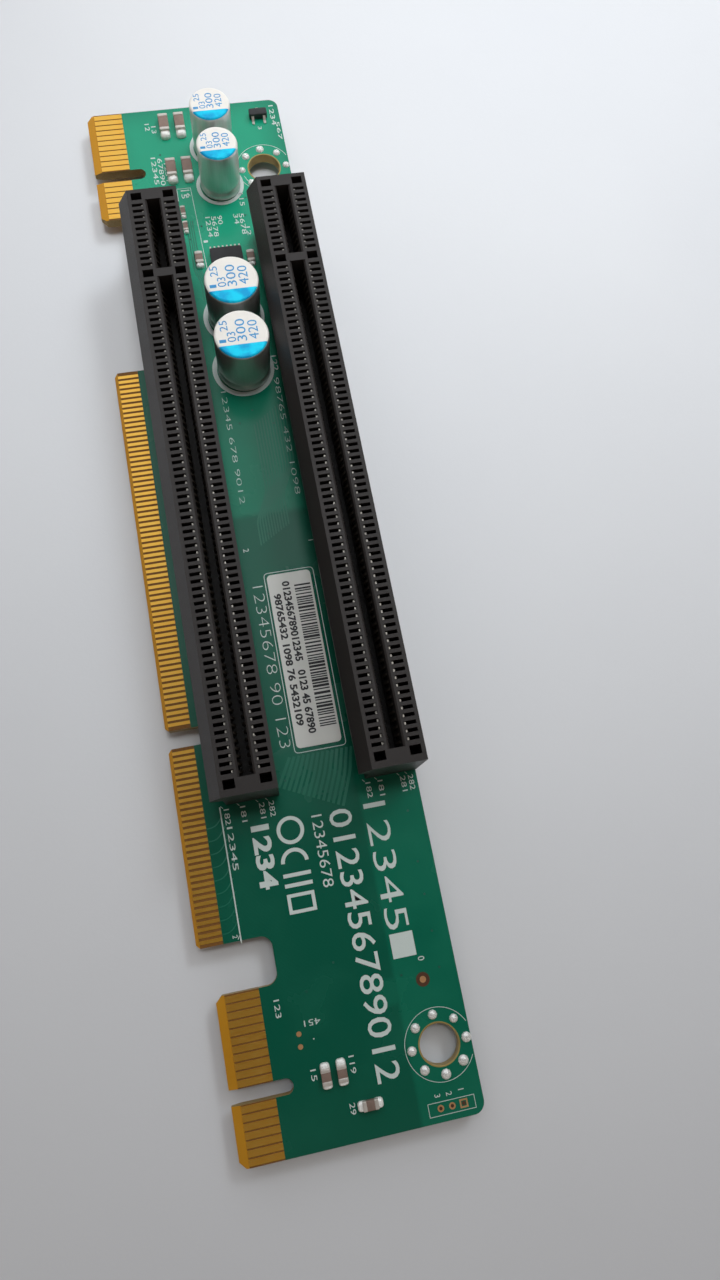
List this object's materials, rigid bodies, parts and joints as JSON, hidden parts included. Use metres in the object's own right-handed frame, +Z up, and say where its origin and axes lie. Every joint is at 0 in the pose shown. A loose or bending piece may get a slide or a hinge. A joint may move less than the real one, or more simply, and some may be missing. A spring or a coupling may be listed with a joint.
{
  "type": "pcie riser card",
  "caption": "Green riser circuit card with keyed card-edge sockets, gold-fingered tongues, can capacitors and mounting holes, lying face up.",
  "frame": {"origin": "bottom centre of the whole part, at the tips of the solder joints", "axes": "+Z up from the face with the sockets, +Y along the card towards the end with the two small capacitors, +X away from the gold fingers"},
  "size_m": [0.0328, 0.1574, 0.0143],
  "materials": {
    "board": "glossy green solder mask over glass laminate",
    "gold": "thin gold plating",
    "socket_plastic": "matt dark moulding",
    "contact_metal": "sprung copper alloy, plated",
    "solder": "bright solder",
    "can_metal": "drawn aluminium, printed top",
    "ceramic": "fired ceramic",
    "tin": "tinned metal",
    "black_resin": "moulded resin",
    "paper": "matt white label"
  },
  "bodies": {
    "root": {"circuit_board": "board", "upper_fingers_component_side": "gold", "upper_fingers_solder_side": "gold", "lower_fingers_component_side": "gold", "lower_fingers_solder_side": "gold", "long_fingers_component_side": "gold", "long_fingers_solder_side": "gold", "socket_a_housing": "socket_plastic", "socket_a_contacts_left": "contact_metal", "socket_a_contacts_right": "contact_metal", "socket_a_solder_joints": "solder", "socket_b_housing": "socket_plastic", "socket_b_contacts_left": "contact_metal", "socket_b_contacts_right": "contact_metal", "socket_b_solder_joints": "solder", "capacitor_1_can": "can_metal", "capacitor_2_can": "can_metal", "capacitor_3_can": "can_metal", "capacitor_4_can": "can_metal", "capacitor_solder_joints": "solder", "large_chip_bodies": "ceramic", "large_chip_ends": "tin", "small_chip_bodies": "ceramic", "small_chip_ends": "tin", "tiny_chip_bodies": "ceramic", "tiny_chip_ends": "tin", "logic_chip_body": "black_resin", "logic_chip_leads": "tin", "transistor_body": "black_resin", "transistor_leads": "tin", "label": "paper"}
  },
  "joints": []
}
